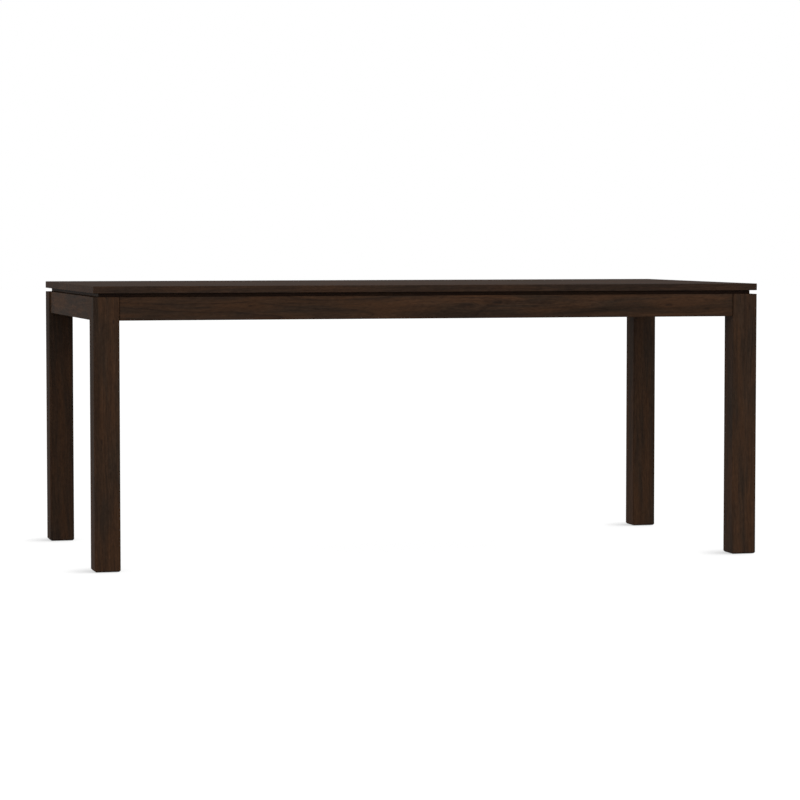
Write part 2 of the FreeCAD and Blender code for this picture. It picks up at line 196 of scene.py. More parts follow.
# How each piece was sawn: the way its grain runs, where its middle lies from the pith,
# how far up the log it was, and how light the stain came out on it.
SAWN = {
    "top_board_1": Sawn("X", pith=(12, 88), along=0, depth=1.02),
    "top_board_2": Sawn("X", pith=(-30, 95), along=900, depth=0.93),
    "top_board_3": Sawn("X", pith=(5, 120), along=2100, depth=1.06),
    "top_board_4": Sawn("X", pith=(44, 76), along=3300, depth=0.97),
    "top_board_5": Sawn("X", pith=(-22, 104), along=4700, depth=1.04),
    "top_board_6": Sawn("X", pith=(18, 90), along=5900, depth=0.92),
    "top_board_7": Sawn("X", pith=(-8, 112), along=7200, depth=1.02),
    "apron_front": Sawn("X", pith=(92, 8), along=400, depth=1.02),
    "apron_back": Sawn("X", pith=(104, -14), along=2600, depth=1.0),
    "apron_left": Sawn("Y", pith=(78, 12), along=5100, depth=1.0),
    "apron_right": Sawn("Y", pith=(96, -6), along=6400, depth=1.0),
    "leg_front_left": Sawn("Z", pith=(60, 74), along=1500, depth=0.94),
    "leg_front_right": Sawn("Z", pith=(82, 66), along=3900, depth=1.06),
    # The back left leg is darker, partly as painted shade, for the end apron and top over it.
    "leg_back_left": Sawn("Z", pith=(70, 90), along=5600, depth=0.87),
    "leg_back_right": Sawn("Z", pith=(58, 82), along=7700, depth=1.11),
    # The spacers are darker, partly as painted shade of the recess under the top.
    "spacer_rail_front": Sawn("X", pith=(60, 40), along=300, depth=0.9),
    "spacer_rail_back": Sawn("X", pith=(70, 44), along=1300, depth=0.9),
    "spacer_rail_left": Sawn("Y", pith=(52, 60), along=2300, depth=0.9),
    "spacer_rail_right": Sawn("Y", pith=(64, 48), along=3300, depth=0.9),
    "cross_spacer_1": Sawn("Y", pith=(70, 30), along=4300, depth=0.9),
    "cross_spacer_2": Sawn("Y", pith=(58, 62), along=5300, depth=0.9),
    "cross_rail_1": Sawn("Y", pith=(62, 35), along=1100, depth=1.0),
    "cross_rail_2": Sawn("Y", pith=(75, 20), along=2700, depth=1.0),
    "corner_block_front_left": Sawn("X-Y", pith=(50, 40), along=200, depth=1.0),
    "corner_block_front_right": Sawn("X+Y", pith=(44, 52), along=1200, depth=1.0),
    "corner_block_back_left": Sawn("X+Y", pith=(61, 38), along=2200, depth=1.0),
    "corner_block_back_right": Sawn("X-Y", pith=(55, 47), along=3200, depth=1.0),
}

# Knots and broad bands, from the middle of their piece along the leaning log: along is
# to the right, or up a leg, and across is upwards, or to the left on a leg. An amount
# above 0 warms and lightens, and one below it greys and darkens.
KNOTS = {
    "apron_front": (
        Knot(along=-511, across=18, radius=3),
        Knot(along=95, across=-4, radius=9),
        Knot(along=178, across=8, radius=6),
        Knot(along=675, across=-12, radius=4),
        Knot(along=788, across=-24, radius=4),
    ),
    "leg_front_left": (
        Knot(along=-106, across=-7, radius=4),
        Knot(along=-18, across=14, radius=3),
        Knot(along=301, across=-23, radius=3),
    ),
}
BANDS = {
    "top_board_1": (
        Band(along=700, across=0, length=420, width=60, amount=-0.6),
    ),
    "apron_front": (
        Band(along=60, across=15, length=220, width=14, amount=1.15),
        Band(along=45, across=-19, length=180, width=11, amount=-0.8),
        Band(along=430, across=-20, length=90, width=10, amount=-1.0),
        Band(along=-800, across=-14, length=70, width=14, amount=-0.8),
        Band(along=640, across=4, length=260, width=13, amount=0.8),
        Band(along=620, across=-24, length=240, width=10, amount=-0.9),
    ),
    "leg_front_left": (
        Band(along=130, across=22, length=260, width=11, amount=-0.9),
        Band(along=-40, across=-18, length=400, width=12, amount=0.3),
    ),
    # This band is painted shade: it darkens the top of the back left leg, under the end apron.
    "leg_back_left": (
        Band(along=260, across=0, length=90, width=60, amount=-0.7),
    ),
}

# Each way that a piece's grain can run, turned to the log's X. The log leans a little in
# each piece, so that its rings come out as long pointed arches.
LOG_LEAN = math.radians(1.3)
SQUARE = math.radians(90)
MITRE = math.radians(45)
GRAIN_TURN = {
    "X": Euler((0, LOG_LEAN, LOG_LEAN)),
    "Y": Euler((0, LOG_LEAN, LOG_LEAN - SQUARE)),
    "Z": Euler((0, LOG_LEAN + SQUARE, LOG_LEAN)),
    "X+Y": Euler((0, LOG_LEAN, LOG_LEAN - MITRE)),
    "X-Y": Euler((0, LOG_LEAN, LOG_LEAN + MITRE)),
}

# --- The edges, the hardware and the glides ---------------------------------------------

EASED_EDGE = 0.5
EASED_STEPS = 2
WELD = 0.002
FLAT_WITHIN = math.radians(1.0)
EDGE_OVER = math.radians(30)
SQUARE_TO = 0.9
METAL_EDGE_OVER = math.radians(35)
BIG_FACES_LEAD = 100

# The sizes of each kind are its tree's named inputs.
NUT = {"Across flats": 13.0, "Height": 6.5, "Bore radius": 3.8}
NUT_CHAMFER_SIDES = 48
NUT_BORE_SIDES = 32

PLATE = {"Width": 20.0, "Height": 46.0, "Corner": 4.0, "Hole radius": 4.25, "Hole pitch": 26.0,
         "Thickness": 1.6}
PLATE_HOLE_SIDES = 32
PLATE_CORNER_STEPS = 6
PLATE_WELD = 0.01

# The bolt is coarsely sliced, at about six slices to a turn of its thread.
BOLT = {"Radius": 4.0, "Length": 84.1, "Thread pitch": 1.25, "Plain": 30.0}
BOLT_SIDES = 20
BOLT_SLICES = 404
THREAD_SHARE = 0.17

SCREW = {"Head radius": 6.0, "Flange": 1.0, "Flange middle": 2.1, "Crown radius": 4.3,
         "Dome": 1.8, "Dome curve": 7.2, "Recess": 5.0, "Recess slot": 1.1,
         "Shank radius": 2.4, "Shank from": 1.5, "Length": 23.0}
SCREW_HEAD_SIDES = 40
SCREW_DOME_RINGS = 32
SCREW_SHANK_SIDES = 24

ZINC_DULL = "#A9ABAA"
ZINC_BRIGHT = "#C6C7C2"
ZINC_CLOUD = 4.5
ZINC_ROUGH = (0.25, 0.25)
NYLON_DARK = "#1A1816"
NYLON_PALE = "#262321"
NYLON_GRAIN = 1.1
NYLON_ROUGH = 0.55
NYLON_RELIEF = 0.1
NYLON_RELIEF_STRENGTH = 0.3


# --- Small tools ------------------------------------------------------------------------

def linear(hex_colour):
    """An sRGB hex colour as Blender's linear RGBA, by the standard's own curve."""
    channels = [int(hex_colour[n:n + 2], 16) / 255 for n in (1, 3, 5)]
    return [c / 12.92 if c <= 0.04045 else ((c + 0.055) / 1.055) ** 2.4 for c in channels] + [1.0]


def grey(value):
    return [value, value, value, 1.0]


def passing(edges, most=1.0):
    """A ramp's stops, nothing at the first of two edges and most at the second."""
    return sorted(zip(edges, (grey(0.0), grey(most))))


def add(tree, kind, inputs=(), stops=(), **settings):
    """A node with its settings, its ramp's stops, and its sockets given values or links.

    inputs is a list in the sockets' order or a dict by name, and only working sockets
    count. A node given as an input stands for its first working output. A new ramp has
    two stops already, and they come first.
    """
    node = tree.nodes.new(kind)
    for name, value in settings.items():
        setattr(node, name, value)
    working = [socket for socket in node.inputs if socket.enabled]
    named = {socket.name: socket for socket in reversed(working)}
    pairs = inputs.items() if isinstance(inputs, dict) else enumerate(inputs)
    for name, given in pairs:
        socket = working[name] if isinstance(name, int) else named[name]
        for value in given if isinstance(given, list) and socket.is_multi_input else [given]:
            if isinstance(value, bpy.types.Node):
                value = next(output for output in value.outputs if output.enabled)
            if isinstance(value, bpy.types.NodeSocket):
                tree.links.new(value, socket)
            else:
                socket.default_value = value
    for number, (place, colour) in enumerate(stops):
        elements = node.color_ramp.elements
        element = elements[number] if number < 2 else elements.new(place)
        element.position = place
        element.color = colour
    return node


def new_material(name):
    """An empty node material and its tree."""
    material = bpy.data.materials.new(name)
    material.use_nodes = True
    material.node_tree.nodes.clear()
    return material, material.node_tree


# --- Wood -------------------------------------------------------------------------------

def place_in_log(tree, node_name, sawn):
    """Object coordinates as millimetres in the log that the piece was sawn from.

    X runs with the grain, and the pith is at Y = Z = 0.
    """
    low, high = [Vector(corner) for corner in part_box(node_name)]
    turn = GRAIN_TURN[sawn.grain]
    middle = turn.to_matrix() @ ((low + high) / 2 / MM)
    shift = Vector((sawn.along, *sawn.pith)) - middle
    source = add(tree, "ShaderNodeTexCoord")
    return add(tree, "ShaderNodeMapping",
               {"Vector": source.outputs["Object"], "Location": shift, "Rotation": turn,
                "Scale": (1 / MM, 1 / MM, 1 / MM)})


def in_log(mark, sawn):
    """A knot or band, given from the middle of its piece, at its place in the log."""
    return mark._replace(along=sawn.along + mark.along, across=sawn.pith[1] + mark.across)


def with_grain(tree, place, marks):
    """Noise in marks of a length with the grain and a width across it."""
    scaled = add(tree, "ShaderNodeVectorMath",
                 [place, (1 / marks.length, 1 / marks.width, 1 / marks.width)],
                 operation="MULTIPLY")
    return add(tree, "ShaderNodeTexNoise",
               {"Vector": scaled, "Scale": 1.0, "Detail": marks.detail,
                "Roughness": marks.roughness})


def wandering(tree, place):
    """The log's coordinates bent as its fibres are, in slow bends and short waves."""
    for marks, sideways in ((WANDER, WANDER_BY), (WAVE, WAVE_BY)):
        noise = with_grain(tree, place, marks)
        centred = add(tree, "ShaderNodeVectorMath", [noise.outputs["Color"], NOISE_MIDDLE],
                      operation="SUBTRACT")
        place = add(tree, "ShaderNodeVectorMath", [centred, (0, sideways, sideways), place],
                    operation="MULTIPLY_ADD")
    return place


def parted_by_knots(tree, place, knots):
    """The coordinates with the fibres parted round each knot, and how dark its heart is.

    A knot runs through its piece along the log's Y.
    """
    heart = 0.0
    for knot in knots:
        from_knot = add(tree, "ShaderNodeVectorMath", [place, (knot.along, 0, knot.across)],
                        operation="SUBTRACT")
        squeezed = add(tree, "ShaderNodeVectorMath", [from_knot, (KNOT_SQUEEZE, 0, 1)],
                       operation="MULTIPLY")
        away = add(tree, "ShaderNodeVectorMath", [squeezed, squeezed], operation="DOT_PRODUCT")
        away = away.outputs["Value"]
        share = add(tree, "ShaderNodeMath", [away, KNOT_SOFTNESS * knot.radius ** 2],
                    operation="ADD")
        share = add(tree, "ShaderNodeMath", [-knot.radius ** 2, share], operation="DIVIDE")
        parting = add(tree, "ShaderNodeVectorMath", [from_knot, (0, 0, 1)], operation="MULTIPLY")
        parting = add(tree, "ShaderNodeVectorMath", {"Vector": parting, "Scale": share},
                      operation="SCALE")
        place = add(tree, "ShaderNodeVectorMath", [place, parting], operation="ADD")
        dark = add(tree, "ShaderNodeMapRange",
                   {"Value": away, "From Min": 0.0, "From Max": knot.radius ** 2,
                    "To Min": KNOT_SHARE, "To Max": 0.0})
        heart = add(tree, "ShaderNodeMath", [dark, heart], operation="MAXIMUM")
    return place, heart


def growth_rings(tree, place):
    """Dark latewood lines round the pith, each year as strong as its own chance."""
    across = add(tree, "ShaderNodeVectorMath", [place, (0, 1, 1)], operation="MULTIPLY")
    radius = add(tree, "ShaderNodeVectorMath", [across], operation="LENGTH")
    count = add(tree, "ShaderNodeMath", [radius, RING_PITCH], operation="DIVIDE")
    year = add(tree, "ShaderNodeMath", [count], operation="FLOOR")
    season = add(tree, "ShaderNodeMath", [count], operation="FRACT")
    latewood = add(tree, "ShaderNodeValToRGB", [season],
                   stops=[(part, grey(dark)) for part, dark in RING])
    chance = add(tree, "ShaderNodeTexWhiteNoise", {"W": year}, noise_dimensions="1D")
    strength = add(tree, "ShaderNodeMath", [chance.outputs["Value"], FEW_STRONG],
                   operation="POWER")
    return add(tree, "ShaderNodeMath", [latewood, strength], operation="MULTIPLY")


def broad_bands(tree, place, bands):
    """How far the piece's broad bands warm (+) or grey (-) each point."""
    tint = 0.0
    for band in bands:
        away = add(tree, "ShaderNodeVectorMath", [place, (band.along, 0, band.across)],
                   operation="SUBTRACT")
        away = add(tree, "ShaderNodeVectorMath", [away, (1 / band.length, 0, 1 / band.width)],
                   operation="MULTIPLY")
        away = add(tree, "ShaderNodeVectorMath", [away], operation="LENGTH").outputs["Value"]
        share = add(tree, "ShaderNodeMapRange",
                    {"Value": away, "From Min": BAND_FULL, "From Max": BAND_GONE,
                     "To Min": band.amount, "To Max": 0.0}, interpolation_type="SMOOTHSTEP")
        tint = add(tree, "ShaderNodeMath", [share, tint], operation="ADD")
    return tint


def streaked_ground(tree, place, tones, tint, streaks):
    """The wood's ground, in cool and warm patches under pale and dark streaks."""
    cool, warm, dark, pale = [linear(tone) for tone in tones]
    patches = with_grain(tree, place, PATCH)
    patches = add(tree, "ShaderNodeMath", [tint, BAND_TINT, patches], operation="MULTIPLY_ADD")
    patches = add(tree, "ShaderNodeValToRGB", [patches], stops=passing(WARM_PATCH))
    paler = add(tree, "ShaderNodeValToRGB", [streaks], stops=passing(PALE_STREAK, PALE_SHARE))
    darker = add(tree, "ShaderNodeValToRGB", [streaks], stops=passing(DARK_STREAK, DARK_SHARE))
    ground = add(tree, "ShaderNodeMix", {"Factor": patches, "A": cool, "B": warm},
                 data_type="RGBA")
    ground = add(tree, "ShaderNodeMix", {"Factor": paler, "A": ground, "B": pale},
                 data_type="RGBA")
    return add(tree, "ShaderNodeMix", {"Factor": darker, "A": ground, "B": dark},
               data_type="RGBA")


def dark_marks(tree, place, heart, pores):
    """How far each point goes to the dark tone: flecks, knots, rings and pores."""
    flecks = add(tree, "ShaderNodeValToRGB", [with_grain(tree, place, FLECK)],
                 stops=passing(DARK_FLECK))
    rings = growth_rings(tree, place)
    marks = add(tree, "ShaderNodeMath", [flecks, FLECK_SHARE, heart], operation="MULTIPLY_ADD")
    marks = add(tree, "ShaderNodeMath", [rings, RING_SHARE, marks], operation="MULTIPLY_ADD")
    return add(tree, "ShaderNodeMath", [pores, PORE_SHARE, marks], operation="MULTIPLY_ADD",
               use_clamp=True)


def brightness(tree, place, fibres, tint, depth):
    """How bright each point is: slow drift and bands, then fibres and short mottling."""
    drift = with_grain(tree, place, DRIFT)
    slow = add(tree, "ShaderNodeMath", [drift, DRIFT_BY * depth, (1 - DRIFT_BY / 2) * depth],
               operation="MULTIPLY_ADD")
    slow = add(tree, "ShaderNodeMath", [tint, BAND_BY, slow], operation="MULTIPLY_ADD")
    mottle = with_grain(tree, place, MOTTLE)
    fine = add(tree, "ShaderNodeMath", [fibres, FIBRE_BY, 1 - (FIBRE_BY + MOTTLE_BY) / 2],
               operation="MULTIPLY_ADD")
    fine = add(tree, "ShaderNodeMath", [mottle, MOTTLE_BY, fine], operation="MULTIPLY_ADD")
    return add(tree, "ShaderNodeMath", [slow, fine], operation="MULTIPLY")


def figured_wood(tree, node_name, sawn, tones, knots=(), bands=()):
    """The colour of planed wood before its finish, its relief, and its streaks."""
    place = wandering(tree, place_in_log(tree, node_name, sawn))
    place, heart = parted_by_knots(tree, place, knots)
    tint = broad_bands(tree, place, bands)
    streaks = with_grain(tree, place, STREAK)
    fibres = with_grain(tree, place, FIBRE)
    pores = add(tree, "ShaderNodeValToRGB", [with_grain(tree, place, PORE)],
                stops=passing(OPEN_PORE))
    ground = streaked_ground(tree, place, tones, tint, streaks)
    marks = dark_marks(tree, place, heart, pores)
    body = add(tree, "ShaderNodeMix", {"Factor": marks, "A": ground, "B": linear(tones.dark)},
               data_type="RGBA")
    gain = brightness(tree, place, fibres, tint, sawn.depth)
    colour = add(tree, "ShaderNodeVectorMath", {"Vector": body, "Scale": gain},
                 operation="SCALE")
    return colour, grain_relief(tree, fibres, pores), streaks


def grain_relief(tree, fibres, pores):
    """The faint ridges of the fibres, with the open pores as scratches between them."""
    height = add(tree, "ShaderNodeMath", [pores, -1.0, fibres], operation="MULTIPLY_ADD")
    return add(tree, "ShaderNodeBump",
               {"Strength": RIDGE_STRENGTH, "Distance": RIDGE * MM, "Height": height})


def stained_walnut(finish, node_name, sawn, knots, bands):
    """Walnut under espresso stain and a satin lacquer.

    It gives the eye dark brown wood whose ground drifts between grey-brown and warm
    brown, with long soft streaks, pointed rings, short flecks, open pores and here and
    there a small knot. Its colour is darkened by ambient occlusion in corners and
    recesses. This is painted shade, and it makes the joints and the gap under the top
    show as dark lines. The shine is the lacquer's alone, which is the coat.
    """
    material, tree = new_material(finish.name + "_" + node_name)
    wood, relief, streaks = figured_wood(tree, node_name, sawn, finish.tones, knots, bands)
    # Painted shade: the colour darkens wherever ambient occlusion finds a corner or recess close
    # by.
    painted_shade_ao = add(tree, "ShaderNodeAmbientOcclusion", {"Distance": finish.crevice.reach * MM},
                   samples=OPEN_AIR_SAMPLES)
    corner_shade_gain = add(tree, "ShaderNodeMapRange",
                {"Value": painted_shade_ao.outputs["AO"], "From Min": CORNER_SHADE_CLOSED,
                 "From Max": CORNER_SHADE_OPEN, "To Min": finish.crevice.brightness, "To Max": 1.0})
    colour = add(tree, "ShaderNodeVectorMath", {"Vector": wood, "Scale": corner_shade_gain},
                 operation="SCALE")
    smoothest, rougher = LACQUERED_ROUGH
    rough = add(tree, "ShaderNodeMath", [streaks, rougher, smoothest], operation="MULTIPLY_ADD")
    surface = add(tree, "ShaderNodeBsdfPrincipled",
                  {"Base Color": colour, "Roughness": rough, "Normal": relief,
                   "Specular IOR Level": 0.0, "Coat Weight": finish.lacquer.weight,
                   "Coat Roughness": finish.lacquer.roughness})
    add(tree, "ShaderNodeOutputMaterial", {"Surface": surface})
    return material


def planed_poplar(node_name, sawn):
    """Poplar straight from the planer, where nobody looks: the blocks and cross rails.

    It gives the eye pale tan wood with greenish-brown streaks, and hardly any shine.
    """
    material, tree = new_material("planed_poplar_" + node_name)
    colour, relief, streaks = figured_wood(tree, node_name, sawn, POPLAR_TONES)
    smoothest, rougher = PLANED_ROUGH
    rough = add(tree, "ShaderNodeMath", [streaks, rougher, smoothest], operation="MULTIPLY_ADD")
    surface = add(tree, "ShaderNodeBsdfPrincipled",
                  {"Base Color": colour, "Roughness": rough, "Normal": relief,
                   "Specular IOR Level": PLANED_SHINE})
    add(tree, "ShaderNodeOutputMaterial", {"Surface": surface})
    return material


# --- Pieces eased from the solids -------------------------------------------------------

def glued_sides(node_name, work):
    """The sides of a top board that are glued to the next boards, and planed flush."""
    if not node_name.startswith("top_board"):
        return set()
    rim = CAD_BOX[1][1] - EASED_EDGE * MM
    return {face for face in work.faces
            if abs(face.normal.y) > SQUARE_TO and abs(face.calc_center_median().y) < rim}


def mark_eased_edges(node_name, work):
    """Give each sharp edge that sanding can reach a bevel weight of 1, and the others 0.

    A glued side is shaded flat, which keeps the shading of the faces round it apart.
    """
    weight = work.edges.layers.float.new("bevel_weight_edge")
    glued = glued_sides(node_name, work)
    for face in work.faces:
        face.smooth = face not in glued
    for edge in work.edges:
        sharp = edge.calc_face_angle(0.0) > EDGE_OVER
        edge[weight] = float(sharp and glued.isdisjoint(edge.link_faces))


def merged_copy(node_name, piece_name):
    """A copy of a node's mesh with its loose triangles welded into whole flat faces."""
    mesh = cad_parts[node_name].data.copy()
    mesh.name = piece_name
    mesh.materials.clear()
    work = bmesh.new()
    work.from_mesh(mesh)
    bmesh.ops.remove_doubles(work, verts=work.verts, dist=WELD * MM)
    bmesh.ops.dissolve_limit(work, angle_limit=FLAT_WITHIN, verts=work.verts, edges=work.edges)
    work.normal_update()
    mark_eased_edges(node_name, work)
    work.to_mesh(mesh)
    work.free()
    piece = bpy.data.objects.new(piece_name, mesh)
    bpy.context.scene.collection.objects.link(piece)
    return piece


def eased(node_name, material):
    """A node's own shape with its sharp edges eased by hand sanding."""
    piece = merged_copy(node_name, node_name + "_eased")
    piece.data.materials.append(material)
    bevel = piece.modifiers.new("eased edges", "BEVEL")
    bevel.width = EASED_EDGE * MM
    bevel.segments = EASED_STEPS
    bevel.limit_method = "WEIGHT"
    normals = piece.modifiers.new("flat faces stay flat", "WEIGHTED_NORMAL")
    normals.keep_sharp = True
    normals.weight = BIG_FACES_LEAD
    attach(piece, "root")
    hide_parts(node_name)
    return piece


def slot_of(node_name):
    """The record's material slot for a wooden piece."""
    if node_name.startswith("top_board"):
        return "espresso_wood_top"
    if node_name.startswith(("leg", "apron")):
        return "espresso_wood_base"
    return "dark_stained_spacer" if "spacer" in node_name else "unstained_hardwood"


for node_name, sawn in SAWN.items():
    slot = slot_of(node_name)
    if slot in STAINED:
        knots = [in_log(knot, sawn) for knot in KNOTS.get(node_name, ())]
        bands = [in_log(band, sawn) for band in BANDS.get(node_name, ())]
        material = stained_walnut(STAINED[slot], node_name, sawn, knots, bands)
    else:
        material = planed_poplar(node_name, sawn)
    eased(node_name, material)


# --- Bolts, nuts, washers and screws ----------------------------------------------------

def loose_solids(node_name):
    """The corners of each separate solid of a node, as a list of lists."""
    work = bmesh.new()
    work.from_mesh(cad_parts[node_name].data)
    bmesh.ops.remove_doubles(work, verts=work.verts, dist=WELD * MM)
    reached = set()
    solids = []
    for start in work.verts:
        if start in reached:
            continue
        reached.add(start)
        solid = [start]
        for vert in solid:                    # the list grows while it is walked
            for edge in vert.link_edges:
                other = edge.other_vert(vert)
                if other not in reached:
                    reached.add(other)
                    solid.append(other)
        solids.append([vert.co.copy() for vert in solid])
    work.free()
    return solids


def towards_middle(corner):
    """From a leg to the middle of the table, level and at 45 degrees to the aprons."""
    return Vector((-math.copysign(1, corner.x), -math.copysign(1, corner.y), 0)).normalized()


def upwards(corner):
    """Straight up, wherever the corner is."""
    return Vector((0, 0, 1))


def foot_of(corners, axis):
    """The middle of a solid's lower end along its axis."""
    side = axis.orthogonal().normalized()
    foot = axis * min(corner.dot(axis) for corner in corners)
    for line in (side, axis.cross(side)):
        reach = [corner.dot(line) for corner in corners]
        foot += line * (min(reach) + max(reach)) / 2
    return foot


def places_of(node_name, axis_of, name):
    """A point at the lower end of each of a node's solids, with the solid's axis."""
    solids = loose_solids(node_name)
    axes = [axis_of(corners[0]) for corners in solids]
    feet = [foot_of(corners, axis) for corners, axis in zip(solids, axes)]
    mesh = bpy.data.meshes.new(name)
    mesh.from_pydata(feet, [], [])
    line = mesh.attributes.new("axis", "FLOAT_VECTOR", "POINT")
    for number, axis in enumerate(axes):
        line.data[number].vector = axis
    return mesh


def repeating_tree(kind, make, sizes):
    """A tree that stands one shape on every point, along the point's axis.

    It comes with the identifiers of its inputs, which are the sizes and the finish.
    """
    tree = bpy.data.node_groups.new(kind, "GeometryNodeTree")
    tree.interface.new_socket("Places", in_out="INPUT", socket_type="NodeSocketGeometry")
    socket_types = {name: "NodeSocketFloat" for name in sizes}
    socket_types["Finish"] = "NodeSocketMaterial"
    identifiers = {}
    for name, socket_type in socket_types.items():
        socket = tree.interface.new_socket(name, in_out="INPUT", socket_type=socket_type)
        identifiers[name] = socket.identifier
    tree.interface.new_socket("Pieces", in_out="OUTPUT", socket_type="NodeSocketGeometry")

    given = add(tree, "NodeGroupInput").outputs
    axis = add(tree, "GeometryNodeInputNamedAttribute", {"Name": "axis"},
               data_type="FLOAT_VECTOR")
    turn = add(tree, "FunctionNodeAlignRotationToVector", {"Vector": axis}, axis="Z")
    turn = add(tree, "FunctionNodeAlignRotationToVector",
               {"Rotation": turn, "Vector": (0, 0, 1)}, axis="Y", pivot_axis="Z")
    copies = add(tree, "GeometryNodeInstanceOnPoints",
                 {"Points": given["Places"], "Instance": make(tree, given), "Rotation": turn})
    whole = add(tree, "GeometryNodeRealizeInstances", [copies])
    dressed = add(tree, "GeometryNodeSetMaterial",
                  {"Geometry": whole, "Material": given["Finish"]})
    add(tree, "NodeGroupOutput", [dressed])
    return tree, identifiers


def repeated(node_name, axis_of, kind, make, sizes, material):
    """One shape at every solid of a node, standing on its lower end along its axis."""
    tree, identifiers = repeating_tree(kind, make, sizes)
    piece = bpy.data.objects.new(kind, places_of(node_name, axis_of, kind + "_places"))
    bpy.context.scene.collection.objects.link(piece)
    modifier = piece.modifiers.new(kind, "NODES")
    modifier.node_group = tree
    modifier[identifiers["Finish"]] = material
    for name, size in sizes.items():
        modifier[identifiers[name]] = size * MM
    seen = piece.evaluated_get(bpy.context.evaluated_depsgraph_get())
    solid = bpy.data.meshes.new_from_object(seen)
    piece.modifiers.clear()
    for face in solid.polygons:
        face.use_smooth = True
    solid.set_sharp_from_angle(angle=METAL_EDGE_OVER)
    piece.data = solid
    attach(piece, "root")
    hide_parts(node_name)
    return piece


def raised(tree, shape, height):
    """A shape moved up its own axis."""
    up = add(tree, "ShaderNodeCombineXYZ", {"Z": height})
    return add(tree, "GeometryNodeTransform", {"Geometry": shape, "Translation": up})


def hex_nut(tree, given):
    """A hexagon with its corners chamfered at both ends and a bore through it.

    The chamfers are two steep cones, 30 degrees from flat, that the hexagon stays inside.
    """
    height = given["Height"]
    half_flats = add(tree, "ShaderNodeMath", [given["Across flats"], 0.5], operation="MULTIPLY")
    corner = add(tree, "ShaderNodeMath", [given["Across flats"], 1 / math.sqrt(3)],
                 operation="MULTIPLY")
    spread = add(tree, "ShaderNodeMath", [height, math.sqrt(3), half_flats],
                 operation="MULTIPLY_ADD")
    prism = add(tree, "GeometryNodeMeshCylinder",
                {"Vertices": 6, "Radius": corner, "Depth": height})
    cone = add(tree, "GeometryNodeMeshCone",
               {"Vertices": NUT_CHAMFER_SIDES, "Radius Top": half_flats,
                "Radius Bottom": spread, "Depth": height})
    down = add(tree, "ShaderNodeMath", [height, -0.5], operation="MULTIPLY")
    upper = raised(tree, cone.outputs["Mesh"], down)
    lower = add(tree, "GeometryNodeTransform",
                {"Geometry": upper, "Rotation": Euler((math.pi, 0, 0))})
    blank = add(tree, "GeometryNodeMeshBoolean", [[prism.outputs["Mesh"], upper, lower]],
                operation="INTERSECT", solver="MANIFOLD")
    bore_depth = add(tree, "ShaderNodeMath", [height, 3.0], operation="MULTIPLY")
    bore = add(tree, "GeometryNodeMeshCylinder",
               {"Vertices": NUT_BORE_SIDES, "Radius": given["Bore radius"],
                "Depth": bore_depth})
    nut = add(tree, "GeometryNodeMeshBoolean", [blank, [bore.outputs["Mesh"]]],
              operation="DIFFERENCE", solver="MANIFOLD")
    half_height = add(tree, "ShaderNodeMath", [height, 0.5], operation="MULTIPLY")
    return raised(tree, nut, half_height)


def plate_washer(tree, given):
    """A pressed plate with rounded corners and a hole for each of the leg's two bolts."""
    outline = add(tree, "GeometryNodeCurvePrimitiveQuadrilateral",
                  {"Width": given["Width"], "Height": given["Height"]})
    outline = add(tree, "GeometryNodeFilletCurve",
                  {"Curve": outline, "Count": PLATE_CORNER_STEPS, "Radius": given["Corner"]},
                  mode="POLY")
    hole = add(tree, "GeometryNodeCurvePrimitiveCircle",
               {"Resolution": PLATE_HOLE_SIDES, "Radius": given["Hole radius"]})
    curves = [outline]
    for way in (-0.5, 0.5):
        offset = add(tree, "ShaderNodeMath", [given["Hole pitch"], way], operation="MULTIPLY")
        place = add(tree, "ShaderNodeCombineXYZ", {"Y": offset})
        curves.append(add(tree, "GeometryNodeTransform",
                          {"Geometry": hole, "Translation": place}))
    curves = add(tree, "GeometryNodeJoinGeometry", [curves])
    back = add(tree, "GeometryNodeFillCurve", [curves])
    up = add(tree, "ShaderNodeCombineXYZ", {"Z": given["Thickness"]})
    front = add(tree, "GeometryNodeExtrudeMesh",
                {"Mesh": back, "Offset": up, "Offset Scale": 1.0, "Individual": False})
    back = add(tree, "GeometryNodeFlipFaces", [back])
    whole = add(tree, "GeometryNodeJoinGeometry", [[front, back]])
    return add(tree, "GeometryNodeMergeByDistance",
               {"Geometry": whole, "Distance": PLATE_WELD * MM})


def hanger_bolt(tree, given):
    """A stud with a rolled machine thread along the part that leaves the leg."""
    stud = add(tree, "GeometryNodeMeshCylinder",
               {"Vertices": BOLT_SIDES, "Side Segments": BOLT_SLICES,
                "Radius": given["Radius"], "Depth": given["Length"]})
    middle = add(tree, "ShaderNodeMath", [given["Length"], 0.5], operation="MULTIPLY")
    stud = raised(tree, stud.outputs["Mesh"], middle)
    place = add(tree, "GeometryNodeInputPosition")
    x, y, z = add(tree, "ShaderNodeSeparateXYZ", [place]).outputs
    angle = add(tree, "ShaderNodeMath", [y, x], operation="ARCTAN2")
    turns = add(tree, "ShaderNodeMath", [z, given["Thread pitch"]], operation="DIVIDE")
    phase = add(tree, "ShaderNodeMath", [angle, -0.5 / math.pi, turns],
                operation="MULTIPLY_ADD")
    wave = add(tree, "ShaderNodeMath", [phase, 0.5], operation="PINGPONG")
    threaded = add(tree, "ShaderNodeMath", [z, given["Plain"]], operation="GREATER_THAN")
    depth = add(tree, "ShaderNodeMath", [wave, threaded], operation="MULTIPLY")
    scale = add(tree, "ShaderNodeMath", [depth, -2 * THREAD_SHARE, 1.0],
                operation="MULTIPLY_ADD")
    scales = add(tree, "ShaderNodeCombineXYZ", {"X": scale, "Y": scale, "Z": 1.0})
    new_place = add(tree, "ShaderNodeVectorMath", [place, scales], operation="MULTIPLY")
    return add(tree, "GeometryNodeSetPosition", {"Geometry": stud, "Position": new_place})


